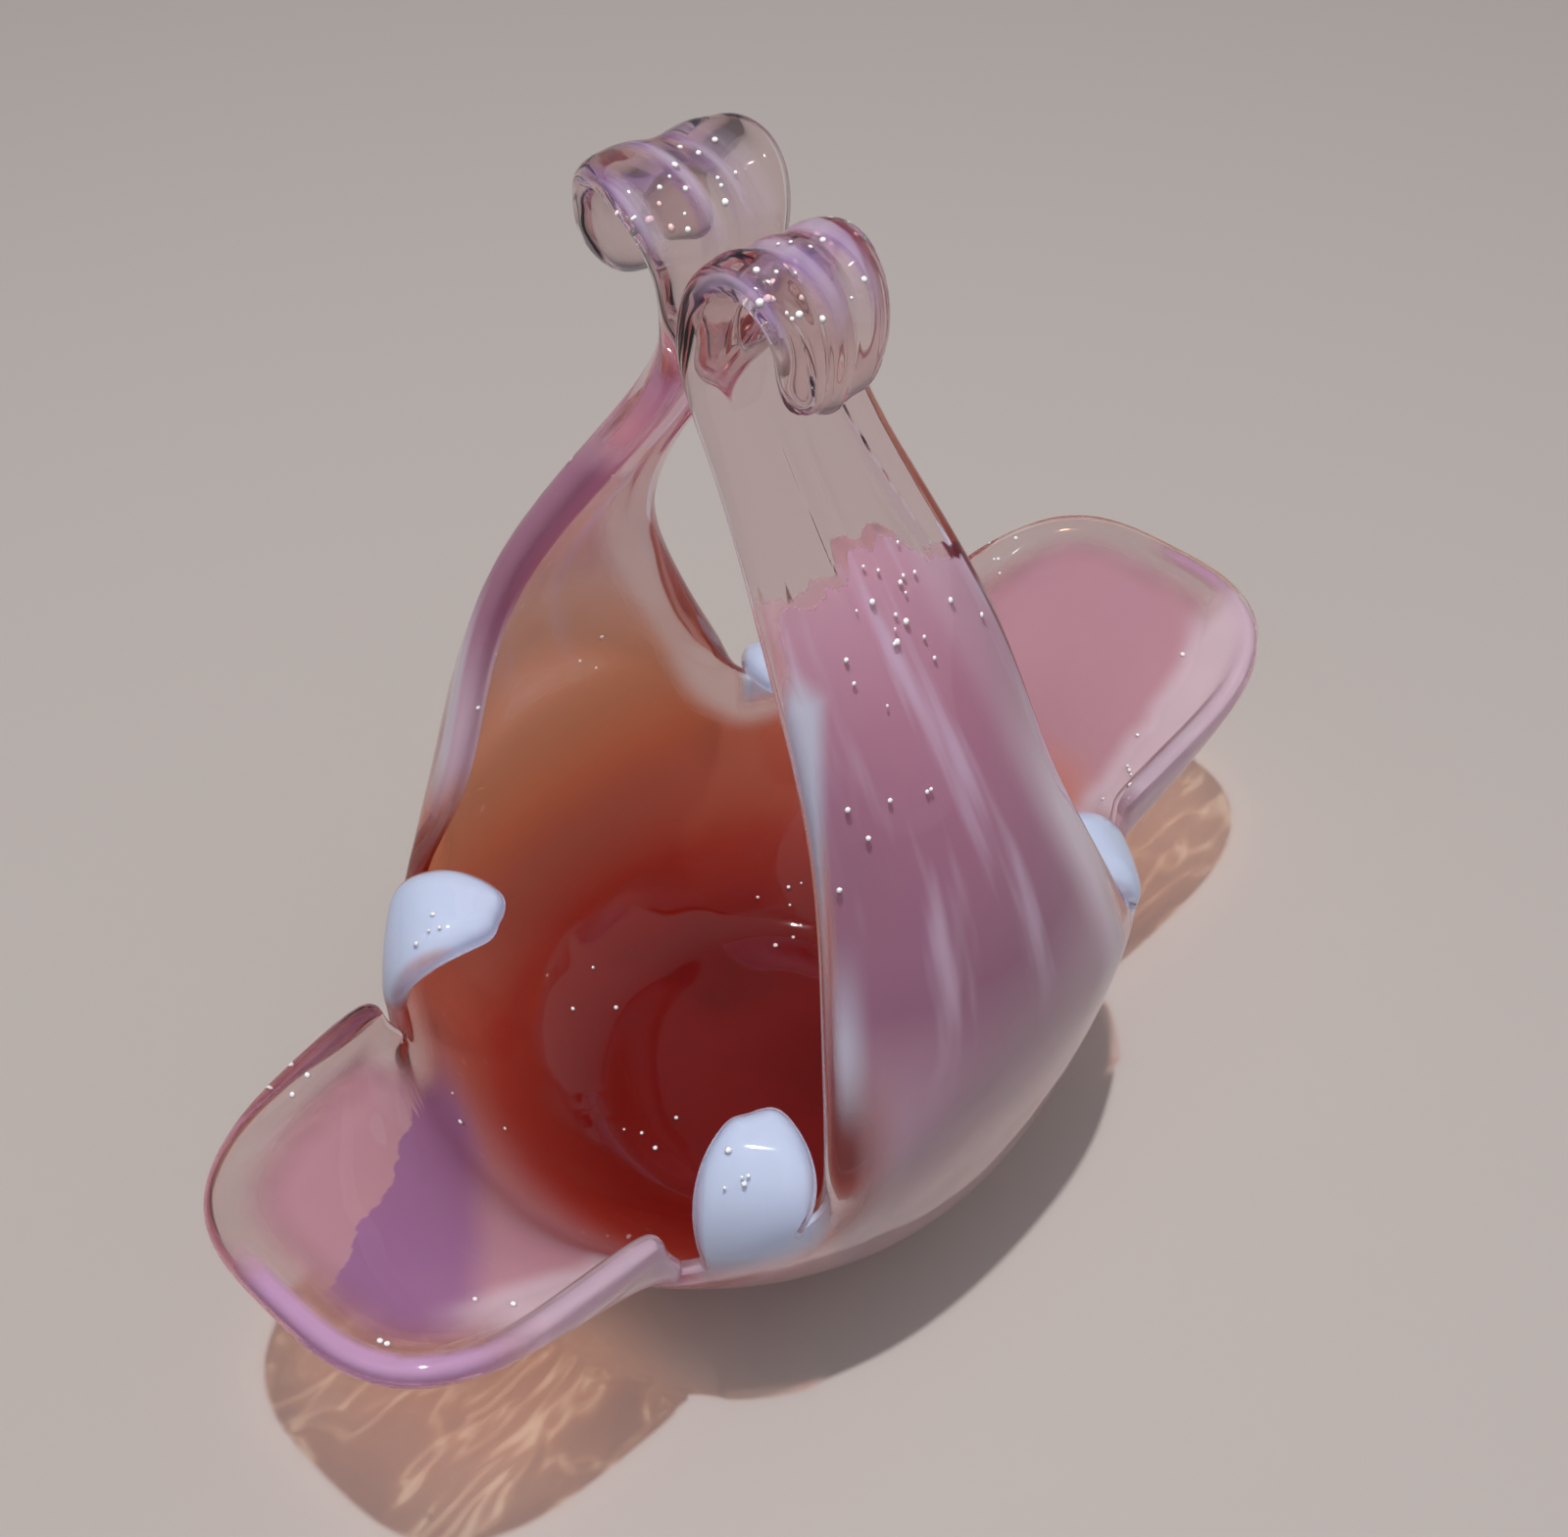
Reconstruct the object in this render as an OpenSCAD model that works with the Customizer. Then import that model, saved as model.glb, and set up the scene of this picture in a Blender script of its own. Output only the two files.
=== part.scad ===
// Hand-blown glass basket dish: one piece of glass. The round bowl's rim is sheared into eight
// petals while hot. Two of them are drawn up into the arms of a handle, which touch at the neck
// and roll outward, two flare out as lobes, and four short ones fold in as opal tongues.
// Millimetres, +Z up. The origin is the middle of the ground foot, on the table.
// X runs through the two lobes and Y through the two arms.

/* [Bowl] */
// Radius of the blown bowl, midway between its long and short radii
bowl_r = 80; // [74:1:86]
// Radius of the flat ground foot
foot_r = 34; // [28:1:40]
// Height of the bowl's widest level
wide_z = 74; // [68:1:80]
// How much longer the bowl is toward the lobes, and shorter toward the arms
oval = 11; // [6:0.5:13]

/* [Glass] */
// Thickness of the blown wall
wall = 5; // [4:0.1:6]
// Thickness of the floor over the foot
floor_t = 8; // [6:0.5:11]
// Thickness of the glass at the neck of the handle
neck_t = 7; // [5.5:0.1:8]
// Thickness of the rolled curls
curl_t = 5.5; // [4.5:0.1:6.5]
// Thickness of the opal tongues
tongue_t = 9.5; // [7:0.1:9.5]
// How much thicker the fire-polished edge is than the wall
bead = 2; // [0.5:0.1:3]

/* [Sheared rim] */
// Mean height of the line where the petals part
rim_z = 62; // [58:0.5:66]
// How far that line rises under the arms and dips under the lobes
rim_wave = 24; // [18:0.5:28]
// Angle of the right tongue round the bowl
tongue_right_at = -40; // [-43:1:-37]
// Angle of the back tongue
tongue_back_at = 38; // [36:1:44]
// Angle of the left tongue
tongue_left_at = 139; // [136:1:142]
// Angle of the front tongue
tongue_front_at = 221; // [218:1:224]
// Half the width of a tongue at its root, as an angle round the bowl
tongue_half = 5.5; // [4.5:0.1:6.5]
// Width of the notch between two petals, as an angle round the bowl
notch = 5.5; // [5:0.1:7]

/* [Tongues] */
// Length of the right, back and front tongues from root to tip
tongue_len = 26.5; // [20:0.5:30]
// Direction of their tips, as a slope that has turned past upright
tongue_fold = 175; // [150:1:185]
// Length of the left tongue
tongue_left_len = 30; // [24:0.5:32]
// Direction of the left tongue's tip, which rolls further over
tongue_left_fold = 208; // [175:1:215]
// How much a tongue widens halfway to its tip, as a share of its width
tongue_swell = 0.12; // [0:0.01:0.2]

/* [Lobes] */
// Reach of the left lobe's lip from the middle of the foot
lobe_left_reach = 130; // [112:1:140]
// Reach of the right lobe's lip from the middle of the foot
lobe_right_reach = 148; // [124:1:158]
// Height of the left lobe's lip
lobe_left_z = 70; // [62:0.5:76]
// Height of the right lobe's lip
lobe_right_z = 77; // [66:0.5:82]
// How much the left lobe widens from its root to its lip
lobe_left_spread = 0.02; // [0:0.01:0.15]
// How much the right lobe widens from its root to its lip
lobe_right_spread = 0.2; // [0:0.01:0.22]
// Slope of a lobe as it runs out to its lip
lobe_slope = 14; // [5:1:25]
// How square a lobe's outline is: 2 is oval, higher has fuller corners
lobe_square = 3.4; // [2.4:0.1:4]
// Height of a lobe's upturned flank beside a tongue, above the line where they part
flank_rise = 18; // [15:0.5:20]

/* [Arms] */
// Height of the neck, where the arms meet
neck_z = 218; // [205:1:228]
// Clear gap between the two arms beside the weld
neck_gap = 2.6; // [2:0.1:4]
// How far the handle leans from the middle toward the left lobe
neck_lean = 5; // [0:0.5:7]
// How far the handle twists on its way up, clockwise from above
neck_twist = 10; // [0:1:14]
// How far the back arm bows toward the left lobe on its way up
back_bow = 6; // [0:0.5:8]
// Half the width of the front arm at a quarter, half, three quarters of its height, and at its neck
front_widths = [30, 21.5, 13.5, 12];
// Half angle of the front arm's curved section at the same places
front_curves = [46, 24, 14, 1];
// Half the width of the back arm at the same places
back_widths = [31, 14, 4.5, 8.5];
// Half angle of the back arm's curved section at the same places
back_curves = [60, 28, 10, 1];
// Half angle of an arm's curved section at its root on the bowl
root_curve = 28; // [20:1:40]
// How far the front arm swells out above the bowl
front_swell = -4; // [-8:0.5:6]
// How far the back arm swells out above the bowl
back_swell = 25; // [14:0.5:28]
// Height through which the front arm goes on rising from the bowl before it draws in
front_rise = 50; // [42:1:58]
// Height through which the back arm goes on rising
back_rise = 32; // [26:1:38]
// Height through which the front arm stands upright below the neck
front_close = 16; // [12:1:20]
// Height through which the back arm stands upright below the neck
back_close = 22; // [16:1:26]

/* [Curls] */
// Radius of the arch over which the front arm rolls outward
front_curl_r = 9.5; // [8.5:0.1:12]
// Straight rise of the front arm from the neck to the start of its arch
front_curl_lift = 6; // [4:0.5:10]
// Half the width of the front curl at its crest
front_curl_w = 10.5; // [9.5:0.5:14]
// Number of rounded ridges along the front curl
front_ridges = 3; // [2:1:3]
// Radius of the arch over which the back arm rolls outward
back_curl_r = 11; // [9:0.1:13]
// Straight rise of the back arm from the neck to the start of its arch
back_curl_lift = 9; // [6:0.5:14]
// Half the width of the back curl at its crest
back_curl_w = 13.5; // [12:0.5:16]
// Number of rounded ridges along the back curl
back_ridges = 2; // [2:1:3]
// Length that hangs down outside past each arch
curl_tail = 11; // [7:0.5:14]
// Depth of the grooves between the ridges
curl_groove = 1.6; // [0:0.1:2.2]

/* [Hidden] */
glass_colour = [0.66, 0.40, 0.52, 0.85];

// Mesh density: cells across each kind of petal, and rows along it
arm_cells = 16;
lobe_cells = 16;
tongue_cells = 6;
bowl_rows = 8;
floor_rings = 2;
neck_row = 20;
arm_rows = 32;
lobe_rows = 9;
tongue_rows = 6;
edge_rows = 3;

// Kinds of petal
ARM = 0;
LOBE = 1;
TONGUE = 2;

// Share of an arm's height through which its foot is drawn onto the rim line
root_share = 0.4;
// Share of its length at which a tongue's outline would close, and how blunt that end is
tongue_close = 0.95;
tongue_blunt = 2.8;
// Share of the way between root and lip at which a lobe's curve is steered, and its flank's slope
lobe_steer = 0.36;
flank_slope = 88;
// Share of a lobe's reach by which its flanks lean out beside the tongues
flank_lean = 0.1;
// How much closer a lobe's columns stand toward its flanks: 0 is even
lobe_gather = 0.4;
// Angle a curl turns over its arch, bend of its hanging end, rounding and narrowing of its tip
arch = 175;
tail_bend = 50;
tip_round = 0.94;
tip_narrow = 0.22;
curl_curve = 3;
// Rows over which the glass thickens from the wall to a petal, and thins from neck to curl
root_rows = 4;
// Rise of the floor's glass into the wall over the foot
heel = 3;

function ease(t) = let (u = max(0, min(1, t))) u * u * (3 - 2 * u);
function mix(a, b, t) = a + (b - a) * t;
function unit(v) = v / max(norm(v), 0.000001);
function arc(r, a) = r * a * PI / 180;

// Smooth run of a value through its even stations
function station(v, i) =
    i < 0 ? 2 * v[0] - v[1] :
    i < len(v) ? v[i] :
    2 * v[len(v) - 1] - v[len(v) - 2];
function through(v, t) =
    let (n = len(v) - 1, i = min(floor(t * n), n - 1), f = t * n - i)
    let (a = station(v, i - 1), b = v[i], c = v[i + 1], d = station(v, i + 2))
    b + (c - a) / 2 * f + (2 * a - 5 * b + 4 * c - d) / 2 * f * f
        + (3 * b - a - 3 * c + d) / 2 * f * f * f;

// Cubic curve through four control points, and its direction
function bezier(v, t) =
    let (u = 1 - t)
    u * u * u * v[0] + 3 * u * u * t * v[1] + 3 * u * t * t * v[2] + t * t * t * v[3];
function bezier_way(v, t) =
    let (u = 1 - t)
    u * u * (v[1] - v[0]) + 2 * u * t * (v[2] - v[1]) + t * t * (v[3] - v[2]);

// Sector of a broad petal between two tongues: its middle and half angle
function middle(a, b) = (a + b) / 2;
function half(a, b) = (b - a) / 2 - tongue_half - notch;
function sector(a, b) = [middle(a, b), half(a, b)];

// Each petal, anticlockwise from the front arm: kind, middle angle and half angle, cells across,
// rows along, and its own shape
front_arm = [front_widths, front_curves, front_swell, front_rise, front_close, front_curl_r,
    front_curl_lift, front_curl_w, front_ridges, 0];
back_arm = [back_widths, back_curves, back_swell, back_rise, back_close, back_curl_r,
    back_curl_lift, back_curl_w, back_ridges, back_bow];
right_lobe = [lobe_right_reach, lobe_right_spread, lobe_right_z];
left_lobe = [lobe_left_reach, lobe_left_spread, lobe_left_z];
PETALS = [
    [ARM, sector(tongue_front_at - 360, tongue_right_at), arm_cells, arm_rows, front_arm],
    [TONGUE, [tongue_right_at, tongue_half], tongue_cells, tongue_rows, tongue_len, tongue_fold],
    [LOBE, sector(tongue_right_at, tongue_back_at), lobe_cells, lobe_rows, right_lobe],
    [TONGUE, [tongue_back_at, tongue_half], tongue_cells, tongue_rows, tongue_len, tongue_fold],
    [ARM, sector(tongue_back_at, tongue_left_at), arm_cells, arm_rows, back_arm],
    [TONGUE, [tongue_left_at, tongue_half], tongue_cells, tongue_rows, tongue_left_len,
        tongue_left_fold],
    [LOBE, sector(tongue_left_at, tongue_front_at), lobe_cells, lobe_rows, left_lobe],
    [TONGUE, [tongue_front_at, tongue_half], tongue_cells, tongue_rows, tongue_len, tongue_fold]
];
FRONT_ARM = 0;
BACK_ARM = 4;
// Angle round the bowl of a place s across a petal, from -1 to 1
function angle_at(p, s) = p[1][0] + p[1][1] * s;

// Bowl: an egg-shaped bubble that stands on its ground foot
foot_a = asin(foot_r / bowl_r);
bowl_h = wide_z / cos(foot_a);
function rim_height(a) = rim_z - rim_wave * cos(2 * a);
function rim_turn(a) = acos((wide_z - rim_height(a)) / bowl_h);
function bowl_point(a, k) =
    let (t = mix(foot_a, rim_turn(a), k), z = wide_z - bowl_h * cos(t))
    let (r = sin(t) * (bowl_r + oval * cos(2 * a) * ease(z / rim_z)))
    [r * cos(a), r * sin(a), z + wall / 2 * (1 - k)];
function bowl_slope(a) = atan2(bowl_h * sin(rim_turn(a)), bowl_r * cos(rim_turn(a)));

// Tongue: a narrow round-ended petal whose slope turns evenly as it folds over into the bowl,
// level across its tip
function tongue_fold_over(long, fold, a, t) =
    let (turn = fold - a)
    long / arc(1, turn) * [sin(a + turn * t) - sin(a), cos(a) - cos(a + turn * t)];
function tongue_point(p, s, t) =
    let (a = p[1][0], root = bowl_point(angle_at(p, s), 1), mid = bowl_point(a, 1))
    let (o = [cos(a), sin(a), 0], side = [-sin(a), cos(a), 0])
    let (fold = tongue_fold_over(p[4], p[5], bowl_slope(a), t))
    let (round = sqrt(1 - pow(tongue_close * t, tongue_blunt)) * (1 + tongue_swell * sin(180 * t)))
    root + side * (side * (root - mid)) * (round - 1) + o * fold[0]
        + [0, 0, fold[1] - (root[2] - mid[2]) * ease(t)];

// Lobe: runs on from the bowl's wall and flares out to its lip, with both flanks turned up
function lobe_lip(p, s, root) =
    let (o = [cos(p[1][0]), sin(p[1][0]), 0], v = [-o[1], o[0], 0], span = lobe_span(s))
    o * mix(root * o, p[4][0], mix(flank_lean, 1, span)) + v * (root * v) * (1 + p[4][1] * span)
        + [0, 0, mix(root[2] + flank_rise, p[4][2], span)];
function lobe_span(s) = sqrt(1 - pow(abs(s), lobe_square));
function slope_way(a, slope) = [cos(a) * cos(slope), sin(a) * cos(slope), sin(slope)];
function lobe_point(p, s, t) =
    let (a = angle_at(p, s), root = bowl_point(a, 1), lip = lobe_lip(p, s, root))
    let (pull = lobe_steer * norm(lip - root), slope = mix(flank_slope, lobe_slope, lobe_span(s)))
    bezier([root, root + pull * slope_way(a, bowl_slope(a)),
        lip - pull * slope_way(p[1][0], slope), lip], t);

// Arm: a trough-shaped strap that follows a drawn-out S from the bowl to the neck
neck_r = neck_gap / 2 + neck_t / 2;
function arm_spine(p) =
    let (root = bowl_point(p[1][0], 1), r = norm([root[0], root[1]]), z = root[2])
    [[r, z], [r + p[4][2], z + p[4][3]], [neck_r, neck_z - p[4][4]], [neck_r, neck_z]];
function arm_half(p) = norm(bowl_point(angle_at(p, 1), 1) - bowl_point(angle_at(p, -1), 1)) / 2;
// Point of a section of half width w and half angle f, at c = [radius, height] facing n, with its
// middle moved aside by d
function section(p, c, n, w, f, s, d) =
    let (x = d + w * sin(f * s) / sin(f), y = c - n * w * (1 - cos(f * s)) / sin(f), a = p[1][0])
    [y[0] * cos(a) - x * sin(a), y[0] * sin(a) + x * cos(a), y[1]];
// Lean and twist of the handle, all of it from the neck up
function leaned(v, t) =
    let (a = -neck_twist * t * t)
    [v[0] * cos(a) - v[1] * sin(a) - neck_lean * t * t, v[0] * sin(a) + v[1] * cos(a), v[2]];
function strap_point(p, s, t) =
    let (v = arm_spine(p), c = bezier(v, t), way = unit(bezier_way(v, t)))
    let (w = through(concat([arm_half(p)], p[4][0]), t))
    let (f = through(concat([root_curve], p[4][1]), t))
    leaned(section(p, c, [way[1], -way[0]], w, f, s, p[4][9] * sin(180 * t)), t);

// Curl: the end of an arm, arched outward over a round tip
function curl_len(p, s) = p[4][6] + arc(p[4][5], arch) + curl_tail * sqrt(1 - tip_round * s * s);
function curl_way(p, l) = l < p[4][6] ? 0 : min(arch, (l - p[4][6]) / arc(p[4][5], 1));
function curl_spine(p, l) =
    let (r = p[4][5], turn = curl_way(p, l), tail = max(0, l - p[4][6] - arc(r, arch)))
    [r * (1 - cos(turn)), min(l, p[4][6]) + r * sin(turn)] + tail * [sin(turn), cos(turn)]
        + tail * tail / tail_bend * [cos(turn), -sin(turn)];
function curl_point(p, s, t) =
    let (l = curl_len(p, s) * t, turn = curl_way(p, l))
    let (w = mix(p[4][0][3], p[4][7], ease(2 * t)) * (1 - tip_narrow * ease(2 * t - 1)))
    leaned(section(p, [neck_r, neck_z] + curl_spine(p, l), [cos(turn), -sin(turn)], w,
        curl_curve, s, 0), 1);

// The strap's foot is drawn onto the waved rim line of the bowl
function arm_point(p, s, j) =
    let (t = min(1, j / neck_row), pull = pow(max(0, 1 - t / root_share), 2))
    j > neck_row ? curl_point(p, s, (j - neck_row) / (arm_rows - neck_row)) :
    strap_point(p, s, t) + (bowl_point(angle_at(p, s), 1) - strap_point(p, s, 0)) * pull;

function petal_point(p, s, j) =
    p[0] == ARM ? arm_point(p, s, j) :
    p[0] == LOBE ? lobe_point(p, s, j / lobe_rows) :
    tongue_point(p, s, j / tongue_rows);

// Columns run up the bowl and on up their petal. Each is [petal, place across it].
COLS = [for (p = [0:len(PETALS) - 1]) for (i = [0:PETALS[p][2]]) [p, i]];
n_cols = len(COLS);
function petal_of(c) = PETALS[COLS[c][0]];
function col_place(c) =
    let (s = -1 + 2 * COLS[c][1] / petal_of(c)[2])
    petal_of(c)[0] == LOBE ? mix(s, sin(90 * s), lobe_gather) : s;
function col_rows(c) = bowl_rows + petal_of(c)[3];
function mid_point(c, k) =
    let (p = petal_of(c), s = col_place(c))
    k <= bowl_rows ? bowl_point(angle_at(p, s), k / bowl_rows) : petal_point(p, s, k - bowl_rows);
MID = [for (c = [0:n_cols - 1]) [for (k = [0:col_rows(c)]) mid_point(c, k)]];

// Neighbours across: all round in the bowl, and only within the petal above it
function beside(c, k, step) =
    let (d = (c + step + n_cols) % n_cols)
    k <= bowl_rows || COLS[d][0] == COLS[c][0] && abs(d - c) == 1 ? d : c;
function across(c, k) = unit(MID[beside(c, k, 1)][k] - MID[beside(c, k, -1)][k]);
function along(c, k) = unit(MID[c][min(k + 1, col_rows(c))] - MID[c][max(k - 1, 0)]);
RAW = [for (c = [0:n_cols - 1]) [for (k = [0:col_rows(c)]) unit(cross(across(c, k), along(c, k)))]];
// Ways out of the wall, evened out over their neighbours so that tight folds stay open
function even(v) = [for (c = [0:n_cols - 1]) [for (k = [0:col_rows(c)])
    unit(v[c][k] + v[beside(c, k, 1)][k] + v[beside(c, k, -1)][k]
        + v[c][min(k + 1, col_rows(c))] + v[c][max(k - 1, 0)])]];
OUT = even(even(RAW));

// Thickness of the glass at each place, with ridges along the curls and a bead at the edges
function ridge(p, s, j) =
    curl_groove * (1 - cos(180 * p[4][8] * (s + 1))) / 2 * ease((j - neck_row) / root_rows);
function arm_t(p, s, j) =
    mix(wall, neck_t, ease(j / neck_row)) + (curl_t - neck_t) * ease((j - neck_row) / root_rows)
        + ridge(p, s, j) + bead * pow(abs(s), 6) * ease(min(j, neck_row - j) / root_rows);
function lobe_t(j) = wall + bead * pow(j / lobe_rows, 5);
function petal_t(p, s, j) =
    p[0] == ARM ? arm_t(p, s, j) :
    p[0] == LOBE ? lobe_t(j) :
    mix(wall, tongue_t, ease(j / root_rows));
function glass_t(c, k) =
    k <= bowl_rows ? wall + (floor_t + heel - wall) * pow(1 - k / bowl_rows, 4) :
    petal_t(petal_of(c), col_place(c), k - bowl_rows);

function outer_point(c, k) =
    k == 0 ? [MID[c][0][0], MID[c][0][1], 0] : MID[c][k] + OUT[c][k] * glass_t(c, k) / 2;
function inner_point(c, k) =
    k == 0 ? MID[c][0] + [0, 0, glass_t(c, 0) - wall / 2] : MID[c][k] - OUT[c][k] * glass_t(c, k) / 2;

// Order of the vertices: one side column by column, then the other, then the rounded edge
function sum(v, n) = n <= 0 ? 0 : v[n - 1] + sum(v, n - 1);
STARTS = [for (at = 0, c = 0; c <= n_cols; at = at + (c < n_cols ? col_rows(c) + 1 : 0), c = c + 1) at];
n_side = STARTS[n_cols];
function at_outer(c, k) = STARTS[c] + k;
function at_inner(c, k) = n_side + STARTS[c] + k;

// The one continuous edge of the glass: up each petal's first column, over its tip and down its
// last column
function first_col(p) = sum([for (q = PETALS) q[2] + 1], p);
EDGE = [for (p = [0:len(PETALS) - 1])
    let (c0 = first_col(p), c1 = c0 + PETALS[p][2], top = col_rows(c0))
    each concat(
        [for (k = [bowl_rows:top]) [c0, k]],
        [for (c = [c0 + 1:c1 - 1]) [c, top]],
        [for (k = [top:-1:bowl_rows]) [c1, k]])];
n_edge = len(EDGE);
function edge_at(i) = EDGE[(i + n_edge) % n_edge];
function at_edge(i, r) =
    let (c = edge_at(i))
    r == 0 ? at_outer(c[0], c[1]) :
    r == edge_rows + 1 ? at_inner(c[0], c[1]) :
    2 * n_side + (i % n_edge) * edge_rows + r - 1;
// Way off the glass at a place on its edge, evened out along the edge
function edge_mid(i) = let (c = edge_at(i)) MID[c[0]][c[1]];
function edge_out(i) = let (c = edge_at(i)) OUT[c[0]][c[1]];
EDGE_WAY = [for (i = [0:n_edge - 1]) unit(cross(edge_out(i), edge_mid(i + 1) - edge_mid(i - 1)))];
function way_at(i) = EDGE_WAY[(i + n_edge) % n_edge];
function edge_way(i) =
    unit(3 * way_at(i) + 2 * (way_at(i - 1) + way_at(i + 1)) + way_at(i - 2) + way_at(i + 2));
function edge_point(i, r) =
    let (c = EDGE[i], t = glass_t(c[0], c[1]) / 2, turn = 180 * r / (edge_rows + 1))
    edge_mid(i) + edge_out(i) * t * cos(turn) + edge_way(i) * t * sin(turn);

// Rings of the inside floor, and its middle
function floor_point(c, r) =
    let (e = inner_point(c, 0), f = r / (floor_rings + 1))
    [e[0] * f, e[1] * f, mix(floor_t, e[2], f * f)];
at_rings = 2 * n_side + n_edge * edge_rows;
function at_floor(c, r) = at_rings + (r - 1) * n_cols + c % n_cols;
at_middle = at_rings + floor_rings * n_cols;

POINTS = concat(
    [for (c = [0:n_cols - 1]) for (k = [0:col_rows(c)]) outer_point(c, k)],
    [for (c = [0:n_cols - 1]) for (k = [0:col_rows(c)]) inner_point(c, k)],
    [for (i = [0:n_edge - 1]) for (r = [1:edge_rows]) edge_point(i, r)],
    [for (r = [1:floor_rings]) for (c = [0:n_cols - 1]) floor_point(c, r)],
    [[0, 0, floor_t]]);

// A four-sided cell as two triangles, seen clockwise from outside
function cell(a, b, c, d) = [[a, b, c], [a, c, d]];

// Cells of the wall: all round the bowl, and within each petal above it
CELLS = [for (c = [0:n_cols - 1])
    let (d = (c + 1) % n_cols, joined = COLS[c][0] == COLS[d][0])
    for (k = [0:(joined ? col_rows(c) : bowl_rows) - 1]) [c, d, k]];

// The weld: the inner faces of the two arms are joined over a few cells at the neck
weld_half = 2;
weld_rows = 2;
weld_at = bowl_rows + neck_row - 1;
function in_weld(c, k) =
    let (i = COLS[c][1] - arm_cells / 2)
    petal_of(c)[0] == ARM && abs(i + 0.5) < weld_half && k >= weld_at && k < weld_at + weld_rows;
// Outline of the weld on the front arm, and the places that face it on the back arm
WELD = concat(
    [for (i = [-weld_half:weld_half - 1]) [i, 0]],
    [for (k = [0:weld_rows - 1]) [weld_half, k]],
    [for (i = [weld_half:-1:1 - weld_half]) [i, weld_rows]],
    [for (k = [weld_rows:-1:1]) [-weld_half, k]]);
function at_weld(p, i, flip) =
    let (w = WELD[i % len(WELD)])
    at_inner(first_col(p) + arm_cells / 2 + flip * w[0], weld_at + w[1]);
function weld_front(i) = at_weld(FRONT_ARM, i, 1);
function weld_back(i) = at_weld(BACK_ARM, i, -1);

FACES = concat(
    [for (q = CELLS) each cell(at_outer(q[0], q[2]), at_outer(q[0], q[2] + 1),
        at_outer(q[1], q[2] + 1), at_outer(q[1], q[2]))],
    [for (q = CELLS) if (!in_weld(q[0], q[2])) each cell(at_inner(q[0], q[2]), at_inner(q[1], q[2]),
        at_inner(q[1], q[2] + 1), at_inner(q[0], q[2] + 1))],
    [for (i = [0:n_edge - 1]) for (r = [0:edge_rows]) each cell(at_edge(i, r), at_edge(i, r + 1),
        at_edge(i + 1, r + 1), at_edge(i + 1, r))],
    [for (i = [0:len(WELD) - 1]) each cell(weld_front(i), weld_front(i + 1), weld_back(i + 1),
        weld_back(i))],
    [for (c = [0:n_cols - 1]) each cell(at_floor(c, floor_rings), at_floor(c + 1, floor_rings),
        at_inner((c + 1) % n_cols, 0), at_inner(c, 0))],
    [for (c = [0:n_cols - 1]) for (r = [1:1:floor_rings - 1]) each cell(at_floor(c, r),
        at_floor(c + 1, r), at_floor(c + 1, r + 1), at_floor(c, r + 1))],
    [for (c = [0:n_cols - 1]) [at_middle, at_floor(c + 1, 1), at_floor(c, 1)]],
    [[for (c = [0:n_cols - 1]) at_outer(c, 0)]]);

module dish() {
    color(glass_colour)
    polyhedron(points = POINTS, faces = FACES, convexity = 12);
}

dish();
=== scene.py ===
from math import radians

import bpy
import numpy as np
from mathutils.bvhtree import BVHTree
from mathutils.kdtree import KDTree
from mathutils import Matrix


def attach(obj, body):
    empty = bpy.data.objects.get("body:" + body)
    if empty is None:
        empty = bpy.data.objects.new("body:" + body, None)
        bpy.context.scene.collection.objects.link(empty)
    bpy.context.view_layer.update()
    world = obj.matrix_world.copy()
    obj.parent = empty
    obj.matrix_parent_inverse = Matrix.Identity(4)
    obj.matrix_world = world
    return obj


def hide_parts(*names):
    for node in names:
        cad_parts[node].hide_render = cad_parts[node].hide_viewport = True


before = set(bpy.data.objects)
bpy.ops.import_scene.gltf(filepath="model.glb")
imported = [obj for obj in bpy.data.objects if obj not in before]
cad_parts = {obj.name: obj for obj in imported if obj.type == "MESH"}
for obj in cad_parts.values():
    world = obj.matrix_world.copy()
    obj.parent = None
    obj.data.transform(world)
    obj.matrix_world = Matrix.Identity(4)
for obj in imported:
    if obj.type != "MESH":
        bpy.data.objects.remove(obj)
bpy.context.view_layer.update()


# The dish
# One gather of cased art glass, blown to a round bowl and then sheared at the rim.
# Two flaps are drawn up into the handle, two are flared into lobes, four are turned in
# as tongues. All of it is one piece, worked hot and fire-polished at the end.

MM = 0.001
MERGE = 0.02 * MM
JOIN_UP_TO = radians(80)
SMOOTH_CUTS = 2

bpy.ops.object.select_all(action="DESELECT")
dish = bpy.data.objects.new("blown_glass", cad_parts["dish"].data.copy())
bpy.context.scene.collection.objects.link(dish)
bpy.context.view_layer.objects.active = dish
dish.select_set(True)
bpy.ops.object.mode_set(mode="EDIT")
bpy.ops.mesh.select_all(action="SELECT")
bpy.ops.mesh.remove_doubles(threshold=MERGE)
bpy.ops.mesh.tris_convert_to_quads(face_threshold=JOIN_UP_TO, shape_threshold=JOIN_UP_TO)
bpy.ops.object.mode_set(mode="OBJECT")
soften = dish.modifiers.new("soften", "SUBSURF")
soften.levels = SMOOTH_CUTS
soften.render_levels = SMOOTH_CUTS
bpy.ops.object.modifier_apply(modifier=soften.name)
bpy.ops.object.shade_smooth()

# Every point of the glass in mm, and which way its surface faces there.
skin = dish.data
points = np.empty(len(skin.vertices) * 3)
skin.vertices.foreach_get("co", points)
points = points.reshape(-1, 3) / MM
facing = np.empty(len(skin.vertices) * 3)
skin.vertex_normals.foreach_get("vector", facing)
facing = facing.reshape(-1, 3)
x, y, z = points.T
reach = np.hypot(x, y)
turn = np.degrees(np.arctan2(y, x))


def ease(value, low, high):
    """0 below low, 1 above high and a smooth step between them."""
    share = np.clip((value - low) / (high - low), 0, 1)
    return share * share * (3 - 2 * share)


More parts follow.
